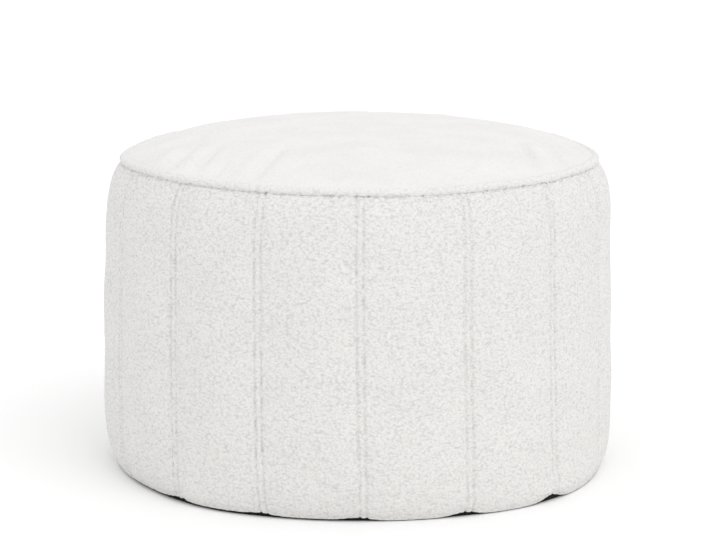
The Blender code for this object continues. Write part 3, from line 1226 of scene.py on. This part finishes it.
# %% [markdown]
# ## The base cloth
#
# The foot is closed by a black woven cloth, pulled flat by the weight of the beads. It shows only as a
# dark line under the hem. A cylinder gives its two sides and its rim, and a bevel rounds the lower edge,
# where the cloth turns up to the hem. Insets put rings of faces inside the rim, so that both sides can
# follow the spread foot instead of being one stiff face with 160 corners.

# %% Base cloth
BASE_RADIUS = HEM_RADIUS - 2.6 * MM
BASE_TURN = 3.0 * MM
BASE_EDGES = 160
BASE_RINGS = (12 * MM, 30 * MM, 60 * MM)  # the widths of the rings, from the rim inwards

start_piece()
bpy.ops.mesh.primitive_cylinder_add(
    vertices=BASE_EDGES, radius=BASE_RADIUS, depth=BASE_THICKNESS, location=(0, 0, BASE_THICKNESS / 2)
)
base = bpy.context.object
base.name = "base_cloth"
bpy.ops.object.transform_apply(location=True, rotation=True, scale=True)
bpy.ops.object.mode_set(mode="EDIT")
bpy.ops.mesh.select_mode(type="EDGE")
bpy.ops.mesh.select_all(action="DESELECT")
bpy.ops.object.mode_set(mode="OBJECT")
for edge in base.data.edges:  # the lower rim
    edge.select = all(base.data.vertices[index].co.z < 0.1 * MM for index in edge.vertices)
bpy.ops.object.mode_set(mode="EDIT")
bpy.ops.mesh.bevel(offset=BASE_TURN, segments=4, profile=0.5, affect="EDGES")
bpy.ops.mesh.select_mode(type="FACE")
bpy.ops.mesh.select_all(action="DESELECT")
bpy.ops.object.mode_set(mode="OBJECT")
for face in base.data.polygons:  # the two flat sides
    face.select = len(face.vertices) > 4
bpy.ops.object.mode_set(mode="EDIT")
for ring_width in BASE_RINGS:
    bpy.ops.mesh.inset(thickness=ring_width)
bpy.ops.object.mode_set(mode="OBJECT")
bpy.ops.object.shade_smooth_by_angle(angle=math.radians(40))
set_points(base, settled(points_of(base)))
print("base cloth:", len(base.data.polygons), "faces")

# %% [markdown]
# ### Its weave
#
# The cloth is a black polyester plain weave: threads pass over and under each other, so the light breaks
# into a fine check. Two waves, one across the other, draw the warp and the weft, and the higher of the two
# is the thread on top. A wave repeats every pi / 10 / Scale. The real threads lie 0.4 mm apart, and they
# are drawn 0.8 mm apart so that they show.

# %% Base cloth material
BASE_THREAD, BASE_GAP = "0d0d0e", "060607"  # on top of a thread, and between the threads
THREAD_SPACING = 0.8 * MM

base_cloth, tree, shader = start_material("black_polyester_plain_weave")
place = add(tree, "ShaderNodeTexCoord").outputs["Object"]
rows = {"Vector": place, "Scale": math.pi / 10 / THREAD_SPACING, "Distortion": 0.3}
warp, weft = (
    add(tree, "ShaderNodeTexWave", rows, bands_direction=direction).outputs["Fac"] for direction in ("X", "Y")
)
weave = add(tree, "ShaderNodeMath", {0: warp, 1: weft}, operation="MAXIMUM")
shade = add(tree, "ShaderNodeValToRGB", {"Fac": weave.outputs["Value"]})
shade.color_ramp.elements[0].color = colour(BASE_GAP)
shade.color_ramp.elements[1].color = colour(BASE_THREAD)
tree.links.new(shade.outputs["Color"], shader.inputs["Base Color"])
bump = add(tree, "ShaderNodeBump", {"Height": weave.outputs["Value"], "Strength": 0.5, "Distance": 0.2 * MM})
tree.links.new(bump.outputs["Normal"], shader.inputs["Normal"])
shader.inputs["Roughness"].default_value = 0.85
shader.inputs["Specular IOR Level"].default_value = 0.3
base.data.materials.append(base_cloth)
print("material:", base_cloth.name, "with threads", THREAD_SPACING / MM, "mm apart")

# %% [markdown]
# ## Hand over
#
# The footstool has no joints, so every piece rides on the one body. Each piece but the stitches stands for
# its CAD solid, which is hidden.

for number, piece in fleece_panels.items():
    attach(piece, "root")
    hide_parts(side_node(number))

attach(top, "root")
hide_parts("top_panel")

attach(piping, "root")
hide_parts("piping")

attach(stitches, "root")

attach(base, "root")
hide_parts("base_panel")
print("pieces:", len(fleece_panels), "panels, the top, the piping, the stitches and the base cloth")
